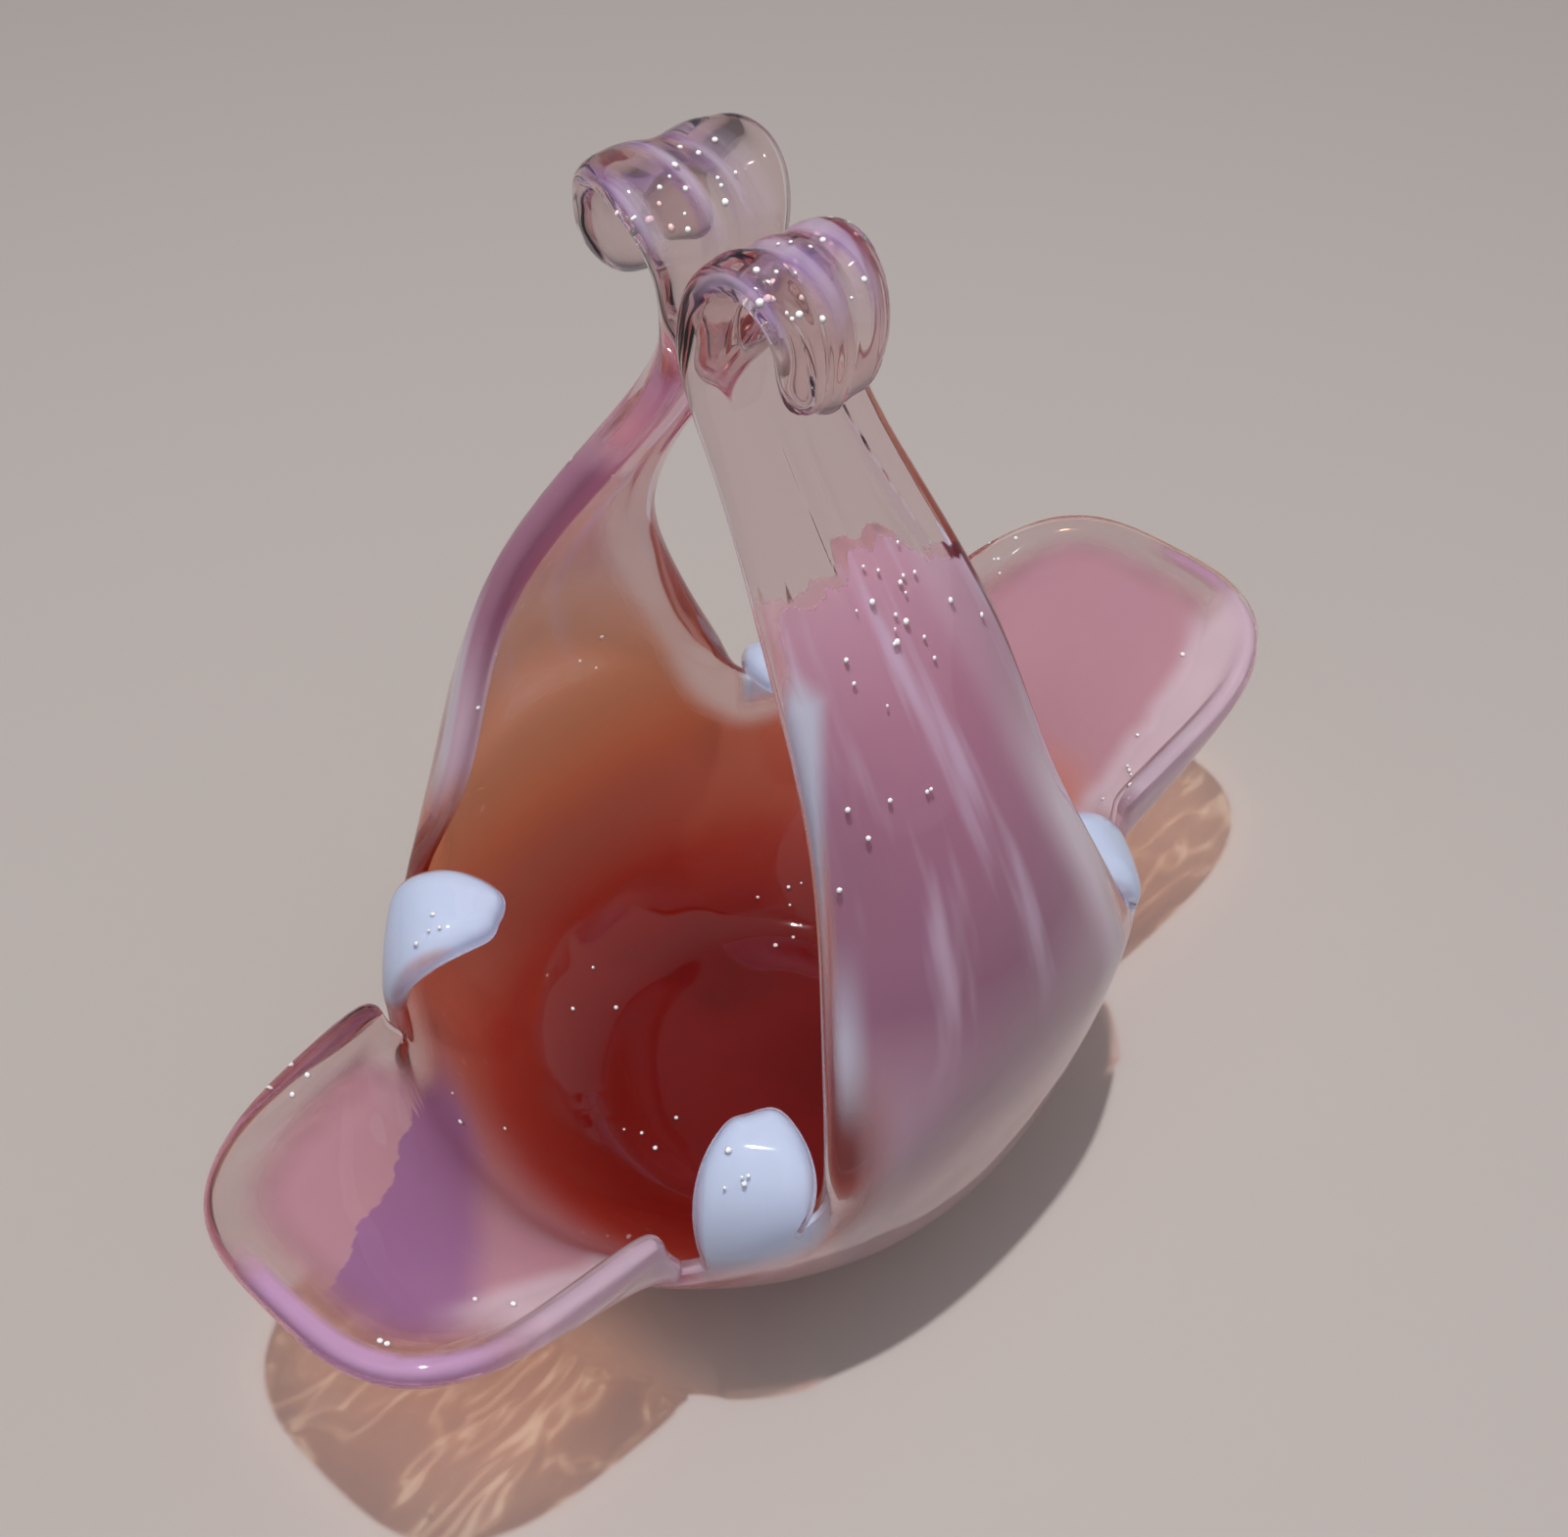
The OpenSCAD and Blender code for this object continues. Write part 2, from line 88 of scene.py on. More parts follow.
# Which side of the wall a point is on: 1 in the bowl and on the inner faces, 0 outside. Outward
# is away from a point high over the bowl, and for the arms straight to the front or back.
OVER_BOWL = 170
ARM_OUT = 60
HANDLE_FROM = (90, 125)
SIDE_BLEND = 0.25
up_arm = ease(z, *HANDLE_FROM)
outward = np.stack([x, y, z - OVER_BOWL], 1)
outward[:, 0] *= 1 - up_arm
outward[:, 1] = outward[:, 1] * (1 - up_arm) + np.sign(y) * ARM_OUT * up_arm
outward[:, 2] *= 1 - up_arm
outward /= np.linalg.norm(outward, axis=1)[:, None]
inner = ease(-(facing * outward).sum(1), -SIDE_BLEND, SIDE_BLEND)

# Distance from the sheared lip: where a ray sent into the glass runs far, it is the lip.
LIP_DEPTH = 13
LOWEST_LIP = 45
UNDER_SKIN = 0.1
LONGEST_RAY = 200
walls = BVHTree.FromObject(dish, bpy.context.evaluated_depsgraph_get())
lips = []
for i, (p, n) in enumerate(zip(points * MM, facing)):
    hit = walls.ray_cast(tuple(p - n * UNDER_SKIN * MM), tuple(-n), LONGEST_RAY * MM)
    if p[2] > LOWEST_LIP * MM and (hit[0] is None or hit[3] > LIP_DEPTH * MM):
        lips.append(i)
near_lip = KDTree(len(lips))
for i in lips:
    near_lip.insert(points[i], i)
near_lip.balance()
lip = np.array([near_lip.find(p)[2] for p in points])

# The arms: how far across the strap a point is, from -1 to 1. It is measured on slices up each
# arm and smoothed over five of them, and below by the turn round the bowl, of which half a flap
# takes 38 degrees.
SLICES = np.arange(84, 232, 3.0)
HALF_SLICE = 2.5
WIDEST_ARM = 58
NARROWEST_HALF = 6
PAST_MIDDLE = 4
EVENED_OVER = 5
HALF_FLAP = 38
BOWL_TO_ARM = (74, 100)
across = np.zeros(len(x))
for side in (-1, 1):
    left, right = [], []
    for level in SLICES:
        near = (side * y > -PAST_MIDDLE) & (abs(z - level) < HALF_SLICE) & (abs(x) < WIDEST_ARM)
        strip = x[near]
        left.append(strip.min() if len(strip) else 0)
        right.append(strip.max() if len(strip) else 0)
    evenly = np.ones(EVENED_OVER) / EVENED_OVER
    left, right = (
        np.convolve(np.pad(ends, EVENED_OVER // 2, "edge"), evenly, "valid")
        for ends in (left, right))
    middle = np.interp(z, SLICES, (left + right) / 2)
    half = np.interp(z, SLICES, (right - left) / 2)
    on_arm = (x - middle) / np.maximum(half, NARROWEST_HALF)
    from_middle = (turn - side * 90 + 180) % 360 - 180
    on_bowl = -side * from_middle / HALF_FLAP
    here = side * y > 0
    blend = ease(z, *BOWL_TO_ARM)
    across[here] = (on_bowl * (1 - blend) + on_arm * blend)[here]

# Two folds pressed into the front arm below its curl: x, lowest and highest z in mm.
FOLDS = ((-10, 167, 206), (-6, 182, 204))
FOLD_DEPTH = 0.6
FOLD_WIDTH = 0.8
FOLD_START = 8
FOLD_END = 4
OUTER_FACE = 0.3
for fold_x, low, high in FOLDS:
    dent = np.exp(-((x - fold_x) / FOLD_WIDTH) ** 2)
    dent = dent * ease(z, low, low + FOLD_START) * ease(-z, -high, FOLD_END - high)
    points -= facing * (FOLD_DEPTH * dent * (inner < OUTER_FACE) * (y < 0))[:, None]
skin.vertices.foreach_set("co", (points * MM).ravel())
skin.update()

# The lobes: the flared flaps left and right. Each pair, here and below, is where a form begins
# and where it is full, in mm.
LEFT_LOBE = (57, 84)
RIGHT_LOBE = (78, 96)
LOBE_SIDE = (50, 76)
LOBE_TOP = (96, 106)
ARM_FOOT = (80, 105)
BACK_TO_FRONT = (-4, 4)
lobe = np.where(x < 0, ease(reach, *LEFT_LOBE), ease(reach, *RIGHT_LOBE))
lobe = lobe * (1 - ease(z, *LOBE_TOP)) * ease(abs(x), *LOBE_SIDE)
arm = ease(z, *ARM_FOOT) * (1 - lobe)
front = ease(-y, *BACK_TO_FRONT)

# The tongues: turned in over the rim between the flaps, at four turns round the bowl, and how
# many mm inside its tongue's outline a point is.
TONGUE_TURNS = (-40, 38, 139, 221)
TONGUE_HALF = 12.5
TONGUE_TIP = 38
TONGUE_ROOT = 92
TONGUE_LOWEST = 55
TONGUE_RISE = 0.5
NO_TONGUE = -40.0
tongue = np.full(len(x), NO_TONGUE)
for degrees in TONGUE_TURNS:
    a = radians(degrees)
    along = x * np.cos(a) + y * np.sin(a)
    beside = abs(-x * np.sin(a) + y * np.cos(a))
    fill = np.minimum(TONGUE_HALF - beside, np.minimum(along - TONGUE_TIP, TONGUE_ROOT - along))
    tongue = np.maximum(tongue, np.minimum(fill, (z - TONGUE_LOWEST) * TONGUE_RISE))

# The pale flanks toward the front, and the lips that carry lilac glass.
PALE_FRONT = (16, 26)
PALE_UP = (45, 55)
LEFT_PALE = (46, 54)
LEFT_TIP = (-118, -100)
RIGHT_PALE = (74, 84)
LEFT_LILAC = (-18, -2)
RIGHT_LILAC = (-6, 8)
RIGHT_LILAC_MOST = 0.7
LILAC_LOST = 0.7
left_pale = ease(x, *LEFT_TIP) * ease(-x, *LEFT_PALE)
pale = np.where(x < 0, left_pale, ease(x, *RIGHT_PALE))
pale = pale * ease(-y, *PALE_FRONT) * ease(z, *PALE_UP)
lilac = np.where(x < 0, ease(-y, *LEFT_LILAC), RIGHT_LILAC_MOST * ease(-y, *RIGHT_LILAC))
lilac = lilac * lobe * (1 - LILAC_LOST * pale)

# A purple patch was laid on the left lobe. It has a torn edge toward the tip, and melts into
# the rose toward the bowl: how far inside the torn edge a point is, and how far it has melted.
PATCH_X = (-125, -110, -96, -74, -60)
TORN_Y = (-7, 3, 11, 30, 40)
MELTED_Y = (-42, -30, -16, 12, 34)
PATCH_FROM_LIP = 7
NO_PATCH = -9
MELT_WIDTH = (-5, 8)
MELT_FROM = (58, 72)
inside_torn = np.minimum(np.interp(x, PATCH_X, TORN_Y) - y, lip - PATCH_FROM_LIP)
patch = np.where(x < 0, inside_torn, NO_PATCH)
melt = ease(y - np.interp(x, PATCH_X, MELTED_Y), *MELT_WIDTH) * ease(-x, *MELT_FROM)

# Where the glass is sheer: the inner wall behind, between the ruby floor and the mauve neck.
# Its right edge, the skirt, is clear.
SHEER_FROM = (18, 60)
SHEER_TO = (110, 150)
OUTER_SHEER_FROM = (30, 62)
SKIRT_ACROSS = (0.2, 0.5)
SKIRT_WIDTH = (9, 17)
SKIRT_FROM = (40, 55)
back_wall = (1 - front) * (1 - lobe)
sheer = back_wall * ease(z, *SHEER_FROM) * (1 - ease(z, *SHEER_TO))
sheer = sheer * (inner + (1 - inner) * ease(z, *OUTER_SHEER_FROM))
skirt = back_wall * ease(across, *SKIRT_ACROSS) * (1 - ease(lip, *SKIRT_WIDTH))
skirt = skirt * ease(z, *SKIRT_FROM)

# How the glass was pulled: mm across and along each flap. The third number only keeps the
# pattern of one flap from running on into the next.
ARM_HALF_WIDTH = 26
ARMS_APART = 100
LOBES_APART = 200
on_lobe = lobe[:, None]
arm_pull = np.stack([across * ARM_HALF_WIDTH, z, np.sign(y) * ARMS_APART], 1)
lobe_pull = np.stack([y, abs(x), np.sign(x) * LOBES_APART], 1)
pull = arm_pull * (1 - on_lobe) + lobe_pull * on_lobe

PLACES = {
    "inner": inner, "lip": lip, "across": across, "lobe": lobe, "tongue": tongue, "arm": arm,
    "front": front, "lilac": lilac, "pale": pale, "patch": patch, "melt": melt, "sheer": sheer,
    "skirt": skirt,
}
for name, values in PLACES.items():
    stored = skin.attributes.new(name, "FLOAT", "POINT")
    stored.data.foreach_set("value", values.astype(np.float32))
stored = skin.attributes.new("pull", "FLOAT_VECTOR", "POINT")
stored.data.foreach_set("vector", pull.astype(np.float32).ravel())


def linear(code):
    """An sRGB hex colour as linear red, green, blue and alpha."""
    parts = [int(code[i:i + 2], 16) / 255 for i in (1, 3, 5)]
    return [c / 12.92 if c <= 0.04045 else ((c + 0.055) / 1.055) ** 2.4 for c in parts] + [1]


def add(tree, kind, settings=None, out=0, **feeds):
    """Adds a node with its settings, and values or links for its inputs, and gives one of its
    outputs. A name such as in_1 is the input with that number, and stops fills a ramp."""
    new = tree.nodes.new("ShaderNode" + kind)
    for key, value in (settings or {}).items():
        if key == "stops":
            ramp = new.color_ramp
            while len(ramp.elements) < len(value):
                ramp.elements.new(1)
            for element, (place, colour) in zip(ramp.elements, value):
                element.position = place
                element.color = linear(colour)
        else:
            setattr(new, key, value)
    for key, value in feeds.items():
        spot = int(key[3:]) if key.startswith("in_") else key.replace("_", " ")
        if isinstance(value, bpy.types.NodeSocket):
            tree.links.new(value, new.inputs[spot])
        else:
            new.inputs[spot].default_value = linear(value) if isinstance(value, str) else value
    return new.outputs[out] if new.outputs else new


# Clear crystal casing, fire-polished: to the eye it is wet and deep, it bends what lies
# behind it and its lips read as clear bands. Lamps pass it as they pass real clear glass.
# The tools left faint ripples, about 14 mm apart.
RIPPLE = 14 * MM
RIPPLE_DEPTH = 0.5 * MM
casing = bpy.data.materials.new("clear_crystal_casing")
casing.use_nodes = True
clear = casing.node_tree
clear.nodes.clear()
place = add(clear, "TexCoord", out="Object")
ripple_place = add(clear, "Mapping", Vector=place, Scale=(1 / RIPPLE,) * 3)
ripples = add(clear, "TexNoise", Vector=ripple_place, Scale=1.0, Detail=0.0)
ripple = add(clear, "Bump", Strength=0.6, Distance=RIPPLE_DEPTH, Height=ripples)
crystal = add(clear, "BsdfPrincipled", Base_Color="#fefcfd", Roughness=0.04, IOR=1.5,
              Transmission_Weight=1.0, Normal=ripple)
passed = add(clear, "BsdfTransparent", Color="#fdfcfc")
lamp_ray = add(clear, "LightPath", out="Is Shadow Ray")
casing_mix = add(clear, "MixShader", in_0=lamp_ray, in_1=crystal, in_2=passed)
add(clear, "OutputMaterial", Surface=casing_mix)
skin.materials.clear()
skin.materials.append(casing)
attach(dish, "root")
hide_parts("dish")


# The coloured layers
# Ruby, mauve and opal glass picked up on the gather and cased in clear, so they lie inside
# the wall and stop short of the sheared lips. They were blown and pulled with the rest.
LAYER_DEPTH = 1.7 * MM

bpy.ops.object.select_all(action="DESELECT")
layers = bpy.data.objects.new("coloured_layers", dish.data.copy())
bpy.context.scene.collection.objects.link(layers)
bpy.context.view_layer.objects.active = layers
layers.select_set(True)
bpy.ops.object.mode_set(mode="EDIT")
bpy.ops.mesh.select_all(action="SELECT")
bpy.ops.transform.shrink_fatten(value=-LAYER_DEPTH)
bpy.ops.object.mode_set(mode="OBJECT")

# Cased ruby and opal glass: milky where opal lies thick, see-through where it was pulled
# thin. It has no gloss of its own, because the clear casing over it has that.
EASED = {"interpolation_type": "SMOOTHSTEP"}
TIMES = {"operation": "MULTIPLY"}
PLUS = {"operation": "ADD"}
MINUS = {"operation": "SUBTRACT"}
MOST = {"operation": "MAXIMUM"}
NUMBERS = {"data_type": "FLOAT"}
COLOURS = {"data_type": "RGBA"}
COLOUR_OUT = 2
opal = bpy.data.materials.new("ruby_and_opal_glass")
opal.use_nodes = True
cased = opal.node_tree
cased.nodes.clear()
mask = {name: add(cased, "Attribute", {"attribute_name": name}, "Fac") for name in PLACES}
pulled = add(cased, "Attribute", {"attribute_name": "pull"}, "Vector")
place = add(cased, "TexCoord", out="Object")
spot_x = add(cased, "SeparateXYZ", out="X", Vector=place)
spot_z = add(cased, "SeparateXYZ", out="Z", Vector=place)

# Streaks drawn out along each flap, about 9 mm apart, ragged edges of 7 mm, clouds of 30 mm,
# and for the shadow ridges 11 mm apart.
STREAK = (9, 90, 1)
RAG = (7, 14, 1)
RIDGE = (11, 30, 1)
CLOUD = 30 * MM
streak_place, rag_place, ridge_place = (
    add(cased, "Mapping", Vector=pulled, Scale=[1 / span for span in spans])
    for spans in (STREAK, RAG, RIDGE))
cloud_place = add(cased, "Mapping", Vector=place, Scale=(1 / CLOUD,) * 3)
streaks = add(cased, "TexNoise", Vector=streak_place, Scale=1.0, Detail=3.0)
ragged = add(cased, "TexNoise", Vector=rag_place, Scale=1.0, Detail=4.0)
ridges = add(cased, "TexNoise", Vector=ridge_place, Scale=1.0, Detail=1.0, Distortion=1.5)
clouds = add(cased, "TexNoise", Vector=cloud_place, Scale=1.0, Detail=2.0)

# The purple patch is torn by up to 6 mm. The pink of the front arm ends at a ragged edge too,
# 10 mm lower at its right and 4 mm lower at its left, and this makes that edge level.
TORN_BY = 6
RAGGED_BY = 12 * MM
SLANTS = ((0.0, 0.014, 0.010), (-0.006, -0.008, 0.004))
jag = add(cased, "MapRange", Value=ragged, To_Min=-TORN_BY, To_Max=TORN_BY)
torn = add(cased, "Math", PLUS, in_0=mask["patch"], in_1=jag)
edge = add(cased, "Math", {"operation": "MULTIPLY_ADD"}, in_0=ragged, in_1=RAGGED_BY, in_2=spot_z)
for none, full, lower in SLANTS:
    slant = add(cased, "MapRange", EASED, Value=spot_x, From_Min=none, From_Max=full, To_Max=lower)
    edge = add(cased, "Math", PLUS, in_0=edge, in_1=slant)

# Where each kind of glass lies. A mask rises from 0 to its most as what it reads goes from the
# first value to the second: mm from the lip, metres of height, or a share.
for name, source, none, full, most in (
    ("right", mask["across"], 0.2, 0.5, 1.0),
    ("left", mask["across"], -0.2, -0.5, 1.0),
    ("up_wall", spot_z, 0.045, 0.065, 1.0),
    ("streaked", streaks, 0.5, 0.66, 0.6),
    # the front arm's broad band and ruby thread, and low on its left the blue stripe
    ("broad", mask["lip"], 26.0, 12.0, 0.9),
    ("thread", mask["lip"], 4.5, 3.5, 1.0),
    ("narrow", mask["lip"], 10.0, 5.0, 0.9),
    ("low_front", spot_z, 0.125, 0.095, 1.0),
    # the back arm's mauve edge and the stripe inside it
    ("under_neck", spot_z, 0.19, 0.175, 1.0),
    ("paler", spot_z, 0.14, 0.11, 1.0),
    ("mauve_wide", mask["lip"], 11.0, 6.0, 1.0),
    ("stripe_start", mask["lip"], 3.0, 4.5, 1.0),
    ("stripe_end", mask["lip"], 9.0, 7.0, 1.0),
    ("low_back", spot_z, 0.15, 0.12, 1.0),
    ("held_wide", mask["lip"], 12.0, 9.0, 1.0),
    # the lobes' patch, flanks and lips, and the tongues
    ("patched", torn, -0.4, 0.4, 0.9),
    ("flank_wide", mask["lip"], 20.0, 14.0, 0.8),
    ("bead_wide", mask["lip"], 6.5, 4.0, 1.0),
    ("milk", mask["tongue"], -1.0, 3.0, 1.0),
    # how far colour stays from the lips, and where it ends below the curls
    ("lobe_fade", mask["lip"], 5.0, 17.0, 1.0),
    ("arm_fade", mask["lip"], 2.0, 5.0, 1.0),
    ("over_edge", edge, 0.1875, 0.1885, 1.0),
    ("under_curl", edge, 0.2205, 0.2195, 1.0),
    ("curls", spot_z, 0.198, 0.208, 1.0),
    ("crest", spot_z, 0.222, 0.236, 0.6),
    ("crest_streaks", streaks, 0.4, 0.6, 1.0),
    ("low_bowl", spot_z, 0.1, 0.07, 1.0),
):
    mask[name] = add(
        cased, "MapRange", EASED, Value=source, From_Min=none, From_Max=full, To_Max=most)

# The broad band is faint higher up, and colour is thin where the glass is sheer or a skirt.
mask["down"] = add(
    cased, "MapRange", EASED, Value=spot_z, From_Min=0.15, From_Max=0.11, To_Min=0.25)
for name, thinner, left_over in (("sheer_left", "sheer", 0.3), ("skirt_left", "skirt", 0.15)):
    mask[name] = add(cased, "MapRange", Value=mask[thinner], To_Min=1.0, To_Max=left_over)
for name, but_not in (("behind", "front"), ("off_lobe", "lobe"), ("off_tongue", "milk")):
    mask[name] = add(cased, "Math", MINUS, in_0=1.0, in_1=mask[but_not])

# Where several masks hold at once.
for name, joined in (
    ("arm_streaks", ("streaked", "arm")),
    ("right_front", ("right", "front", "up_wall")),
    ("broad_band", ("broad", "right_front", "down")),
    ("right_arm", ("right_front", "arm")),
    ("ruby_thread", ("thread", "right_arm")),
    ("blue_stripe", ("left", "front", "low_front", "narrow", "up_wall")),
    ("back_left", ("left", "arm", "behind", "under_neck")),
    ("mauve_edge", ("mauve_wide", "back_left")),
    ("pale_stripe", ("stripe_start", "stripe_end", "low_back", "back_left")),
    ("held", ("held_wide", "back_left")),
    ("purple_patch", ("patched", "inner", "melt")),
    ("flank", ("flank_wide", "pale")),
    ("bead", ("bead_wide", "lilac")),
    ("bare", ("over_edge", "under_curl", "front")),
    ("crest_lilac", ("crest", "crest_streaks")),
    ("stained", ("sheer", "inner", "skirt_left")),
    ("thick_bowl", ("low_bowl", "off_lobe", "off_tongue")),
):
    mask[name] = mask[joined[0]]
    for other in joined[1:]:
        mask[name] = add(cased, "Math", TIMES, in_0=mask[name], in_1=mask[other])

# Ruby to peach on the inner faces and mauve on the outer ones, by height up to 250 mm.
TOP = 250 * MM
INSIDE = [
    (0.04, "#84110c"), (0.1, "#b03c2e"), (0.2, "#ec8c66"), (0.32, "#fac098"), (0.46, "#fadcc8"),
    (0.62, "#f2d4cc"), (0.8, "#e0d0e6")]
# The outer faces are near white low down. That part is pale lilac glass, painted lighter still as
# painted light, because the underside stands in shade.
OUTSIDE = [
    (0.0, "#fbf8ff"), (0.22, "#f8f4fe"), (0.32, "#d2bad4"), (0.42, "#ae80a2"), (0.52, "#ba88a8"),
    (0.62, "#c792ae"), (0.74, "#deb2c6"), (0.9, "#9670be")]
height = add(cased, "MapRange", Value=spot_z, From_Max=TOP)
inside = add(cased, "ValToRGB", {"stops": INSIDE}, Fac=height)
outside = add(cased, "ValToRGB", {"stops": OUTSIDE}, Fac=height)
colour = add(cased, "Mix", COLOURS, COLOUR_OUT, in_0=mask["inner"], in_6=outside, in_7=inside)

# The glass laid over that, from the first to the last.
mauve = add(
    cased, "Mix", COLOURS, COLOUR_OUT, in_0=mask["paler"], in_6="#c08ca8", in_7="#ead0e0")
rose = add(cased, "Mix", COLOURS, COLOUR_OUT, in_0=clouds, in_6="#d4aaae", in_7="#cea0b6")
for name, tint in (
    ("arm_streaks", "#ece0fa"),
    ("broad_band", "#f4ecfa"),
    ("ruby_thread", "#8c3448"),
    ("blue_stripe", "#e4ecff"),
    ("mauve_edge", mauve),
    ("pale_stripe", "#f4eef8"),
    ("lobe", rose),
    ("purple_patch", "#ac7cae"),
    ("flank", "#ece0ea"),
    ("bead", "#dcb4dc"),
    ("milk", "#dde9fc"),
):
    colour = add(
        cased, "Mix", COLOURS, COLOUR_OUT, in_0=mask[name], in_6=colour, in_7=tint)

# How solid the layer is: it fades out toward the lips, and stops with a ragged edge under the
# front curl. The curls have only a few lilac streaks over their crests.
arm_solid = mask["arm_fade"]
for name in ("right_arm", "back_left"):
    arm_solid = add(cased, "Math", MOST, in_0=arm_solid, in_1=mask[name])
solid = add(
    cased, "Mix", NUMBERS, in_0=mask["arm"], in_2=mask["lobe_fade"], in_3=arm_solid)
for name in ("flank", "bead"):
    solid = add(cased, "Math", MOST, in_0=solid, in_1=mask[name])
below_edge = add(cased, "Math", MINUS, in_0=1.0, in_1=mask["bare"])
solid = add(cased, "Math", TIMES, in_0=solid, in_1=below_edge)
solid = add(cased, "Mix", NUMBERS, in_0=mask["curls"], in_2=solid, in_3=mask["crest_lilac"])
for name in ("sheer_left", "skirt_left"):
    solid = add(cased, "Math", TIMES, in_0=solid, in_1=mask[name])
for name in ("held", "milk"):
    solid = add(cased, "Math", MOST, in_0=solid, in_1=mask[name])

# Solid glass is lit from both sides. Sheer glass is a tinted window, ruby low and peach above.
STAIN = [
    (0.1, "#d8402c"), (0.2, "#ee8058"), (0.32, "#f8b48c"), (0.46, "#fad8c0"), (0.6, "#f8ecea")]
body = add(cased, "BsdfPrincipled", Base_Color=colour, Roughness=0.6, Specular_IOR_Level=0.0)
glow = add(cased, "BsdfTranslucent", Color=colour)
lit = add(cased, "MixShader", in_0=0.5, in_1=body, in_2=glow)
stain = add(cased, "ValToRGB", {"stops": STAIN}, Fac=height)
stain = add(
    cased, "Mix", COLOURS, COLOUR_OUT, in_0=mask["stained"], in_6="#f8f0f0", in_7=stain)
window = add(cased, "BsdfTransparent", Color=stain)
seen = add(cased, "MixShader", in_0=solid, in_1=window, in_2=lit)

# What lamps bring through: pale through the arms, warm and streaky through the lobes, and
# little through the thick low bowl.
WARM = [
    (0.3, "#b08464"), (0.46, "#c49c7c"), (0.5, "#fff4e4"), (0.54, "#c49c7c"), (0.7, "#a87e60")]
warm = add(cased, "ValToRGB", {"stops": WARM}, Fac=ridges)
thin = add(cased, "Mix", COLOURS, COLOUR_OUT, in_0=mask["lobe"], in_6="#fbeae6", in_7=warm)
through = add(
    cased, "Mix", COLOURS, COLOUR_OUT, in_0=mask["thick_bowl"], in_6=thin, in_7="#1c1612")
passed = add(cased, "BsdfTransparent", Color=through)
lamp_ray = add(cased, "LightPath", out="Is Shadow Ray")
layer_mix = add(cased, "MixShader", in_0=lamp_ray, in_1=seen, in_2=passed)
add(cased, "OutputMaterial", Surface=layer_mix)
layers.data.materials.clear()
layers.data.materials.append(opal)
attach(layers, "root")


# The seeds, with painted glints
# Small bubbles of air trapped just under the skin while the glass was hot, in groups where the
# glints fall. Each is also a painted highlight: a white dot that stands in for a glint of the
# lamps.
GLINT_SEED_DEPTH = 0.85
GLINT_SEED_SIZES = (0.3, 0.68)
SEED_SIDES = 8
SEED_RINGS = 6

# Each group has its middle and its reach in mm, and its number of bubbles.
GLINT_SEED_GROUPS = (
    ((-3, 9, 238), 9, 12), ((-14, 8, 236), 7, 9), ((-8, -20, 235), 9, 14),
    ((-19, -17, 232), 6, 7), ((1, -12, 236), 8, 7), ((-2, -31, 176), 8, 10),
    ((3, -36, 169), 9, 9), ((12, -38, 163), 7, 3), ((-28, -44, 136), 9, 8),
    ((-17, -46, 145), 9, 6), ((-14, -38, 162), 9, 4), ((-14, 44, 14), 9, 5),
    ((-44, 40, 25), 9, 4), ((-64, 28, 33), 11, 6), ((-32, 8, 10), 8, 4),
    ((40, 26, 14), 14, 10), ((-58, -46, 79), 5, 5), ((-58, 41, 78), 5, 4),
    ((-98, 39, 71), 7, 4), ((-104, -30, 66), 7, 5), ((-125, -24, 72), 5, 2),
    ((125, 33, 75), 8, 5), ((100, -34, 66), 10, 7), ((122, -29, 71), 7, 4),
    ((88, -34, 64), 8, 4), ((-32, 52, 124), 12, 5), ((-16, 30, 173), 8, 4),
    ((14, 67, 88), 9, 4))
rng = np.random.default_rng(11)

bpy.ops.object.select_all(action="DESELECT")
glint_seeds = bpy.data.objects.new("bubbles_with_painted_glints", bpy.data.meshes.new("bubbles_with_painted_glints"))
bpy.context.scene.collection.objects.link(glint_seeds)
bpy.context.view_layer.objects.active = glint_seeds
glint_seeds.select_set(True)
bpy.ops.object.mode_set(mode="EDIT")
for centre, spread, count in GLINT_SEED_GROUPS:
    close = np.flatnonzero(np.linalg.norm(points - centre, axis=1) < spread)
    for i in rng.choice(close, count, replace=False):
        bpy.ops.mesh.primitive_uv_sphere_add(
            segments=SEED_SIDES, ring_count=SEED_RINGS, radius=rng.uniform(*GLINT_SEED_SIZES) * MM,
            location=(points[i] - facing[i] * GLINT_SEED_DEPTH) * MM)
bpy.ops.object.mode_set(mode="OBJECT")
bpy.ops.object.shade_smooth()

# Painted light on each bubble: a painted highlight of plain white where it faces the eye, and
# painted shade at its rim.
GLINT_AND_RIM_SHADE = [(0.0, "#ffffff"), (0.55, "#ffffff"), (0.9, "#6c4450")]
air = bpy.data.materials.new("air_in_glass")
air.use_nodes = True
glint_nodes = air.node_tree
glint_nodes.nodes.clear()
rim = add(glint_nodes, "LayerWeight", out="Facing", Blend=0.5)
painted_glint_and_rim = add(glint_nodes, "ValToRGB", {"stops": GLINT_AND_RIM_SHADE}, Fac=rim)
glint_bsdf = add(glint_nodes, "BsdfPrincipled", Base_Color=painted_glint_and_rim, Roughness=0.2)
add(glint_nodes, "OutputMaterial", Surface=glint_bsdf)
glint_seeds.data.materials.append(air)
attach(glint_seeds, "root")


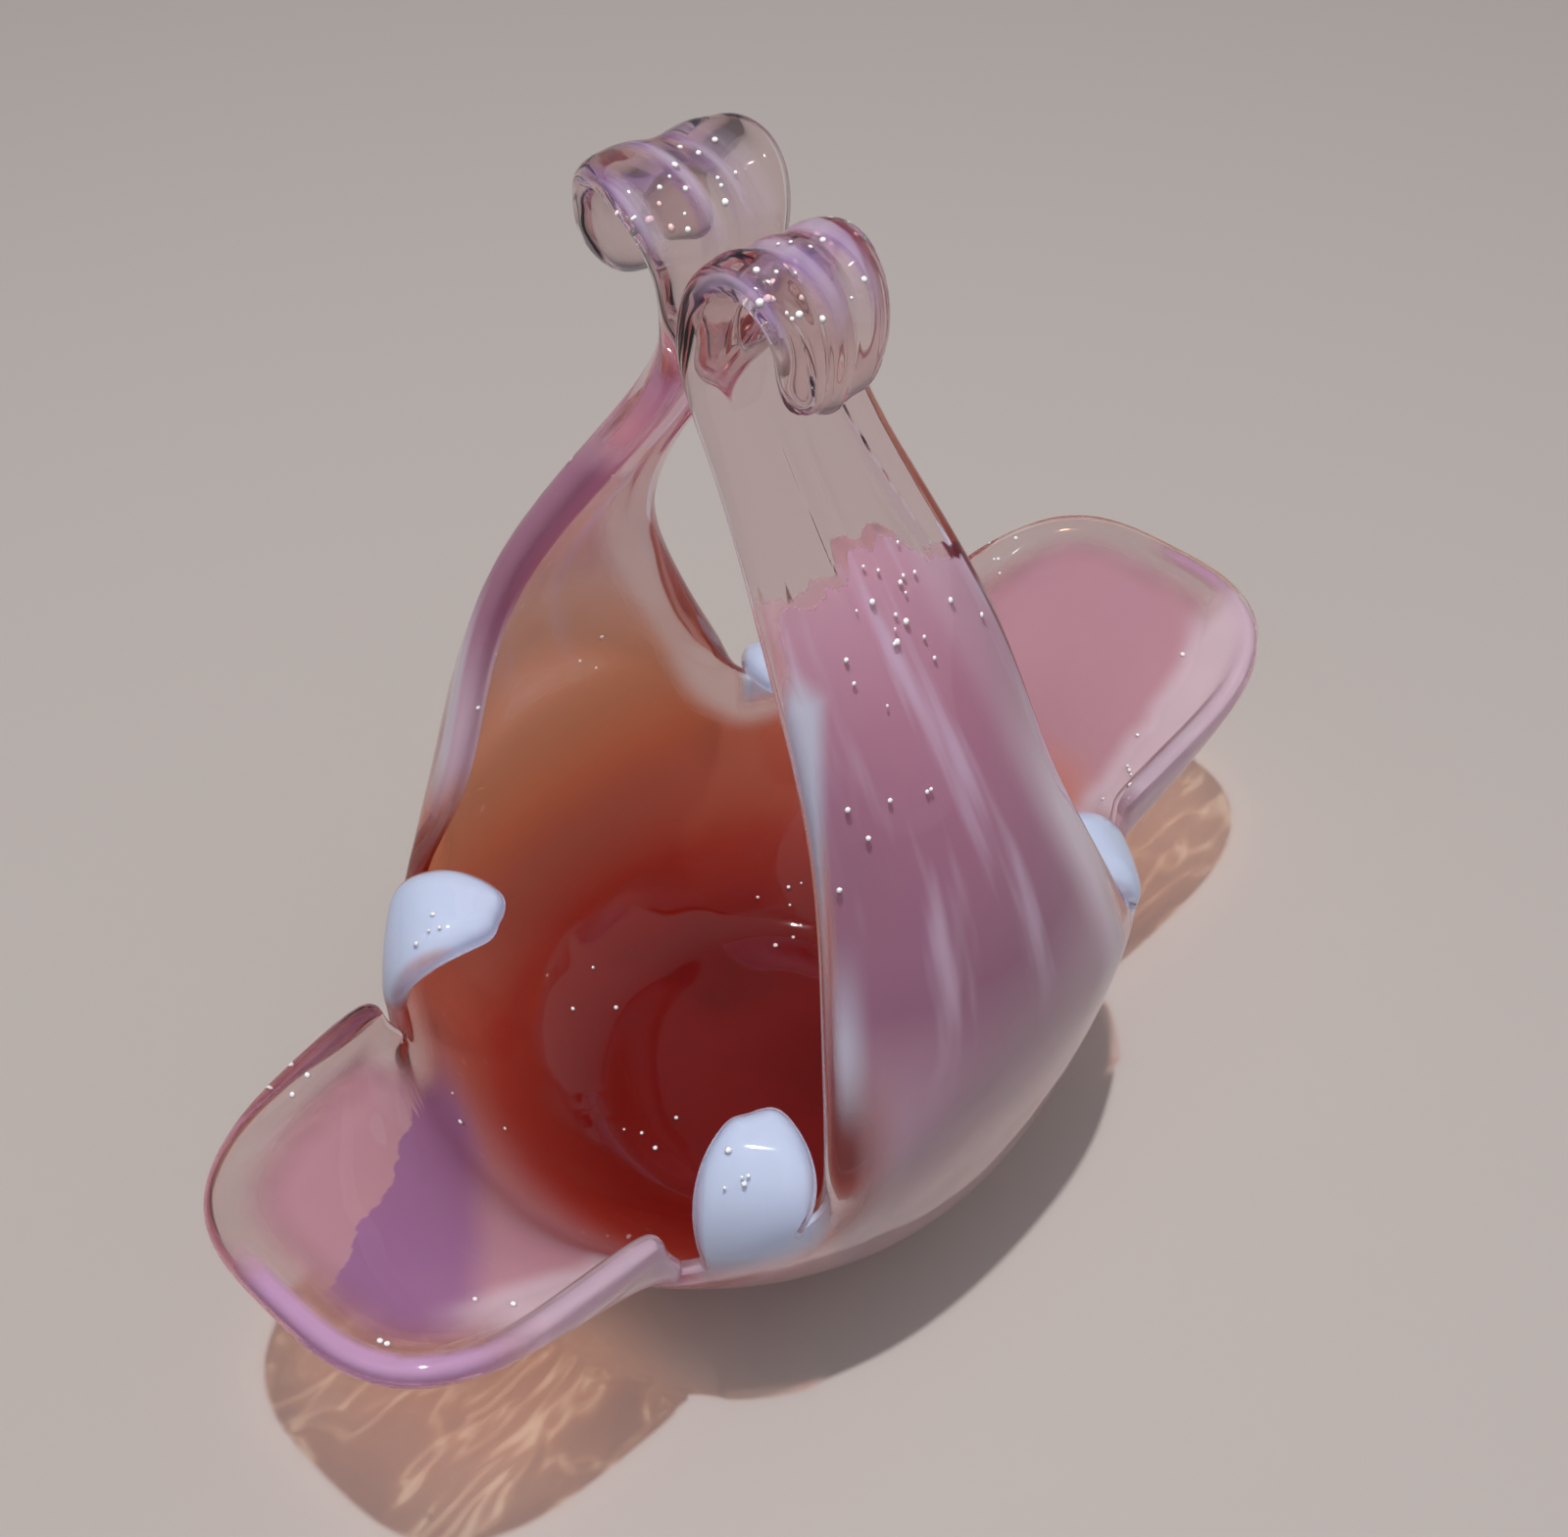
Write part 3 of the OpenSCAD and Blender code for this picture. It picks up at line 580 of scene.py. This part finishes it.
# The floor
# A plain table top of matt, warm grey board, wide enough for every view. The dish stands
# loose on it with its ground foot.
FLOOR_SIZE = 8
bpy.ops.object.select_all(action="DESELECT")
bpy.ops.mesh.primitive_plane_add(size=FLOOR_SIZE)
floor = bpy.context.object
floor.name = "table_top"
matt = bpy.data.materials.new("matt_table_top")
matt.use_nodes = True
table = matt.node_tree.nodes["Principled BSDF"]
table.inputs["Base Color"].default_value = linear("#bdb4af")
table.inputs["Roughness"].default_value = 0.7
floor.data.materials.append(matt)


# Light and camera
# A pale room that is dimmer behind the dish, and one small lamp high over it, which gives the
# short shadow and the glints. The camera stands where the photograph was taken from.
ROOM_FRONT = 0.55
ROOM_BACK = 0.16
ROOM_SEEN = 0.5
world = bpy.data.worlds.new("pale_room")
bpy.context.scene.world = world
world.use_nodes = True
room = world.node_tree
room.nodes.clear()
toward = add(room, "TexCoord", out="Generated")
toward_back = add(room, "SeparateXYZ", out="Y", Vector=toward)
level = add(room, "MapRange", EASED, Value=toward_back, From_Min=-0.3, From_Max=0.6,
            To_Min=ROOM_FRONT, To_Max=ROOM_BACK)
camera_ray = add(room, "LightPath", out="Is Camera Ray")
level = add(room, "Mix", NUMBERS, in_0=camera_ray, in_2=level, in_3=ROOM_SEEN)
sky = add(room, "Background", Color="#f4f4f8", Strength=level)
add(room, "OutputWorld", Surface=sky)

LAMP_WATTS = 44.0
LAMP_RADIUS = 14 * MM
lamp = bpy.data.lights.new("high_lamp", "POINT")
lamp.energy = LAMP_WATTS
lamp.shadow_soft_size = LAMP_RADIUS
holder = bpy.data.objects.new("high_lamp", lamp)
holder.location = (-0.11, -0.05, 1.35)
bpy.context.scene.collection.objects.link(holder)

eye = bpy.data.cameras.new("photo_view")
eye.lens = 45
eye.sensor_width = 36
eye.clip_start = 10 * MM
viewer = bpy.data.objects.new("photo_view", eye)
viewer.location = (-0.2051, -0.1902, 0.3894)
viewer.rotation_euler = (radians(45), 0, radians(-48))
bpy.context.scene.collection.objects.link(viewer)
bpy.context.scene.camera = viewer
bpy.context.scene.view_settings.view_transform = "Standard"

# Light passes many walls of clear glass in the curls before it is spent.
GLASS_WALLS = 12
LAYER_WALLS = 18
bpy.context.scene.cycles.caustics_reflective = False
bpy.context.scene.cycles.max_bounces = GLASS_WALLS
bpy.context.scene.cycles.transmission_bounces = GLASS_WALLS
bpy.context.scene.cycles.transparent_max_bounces = LAYER_WALLS
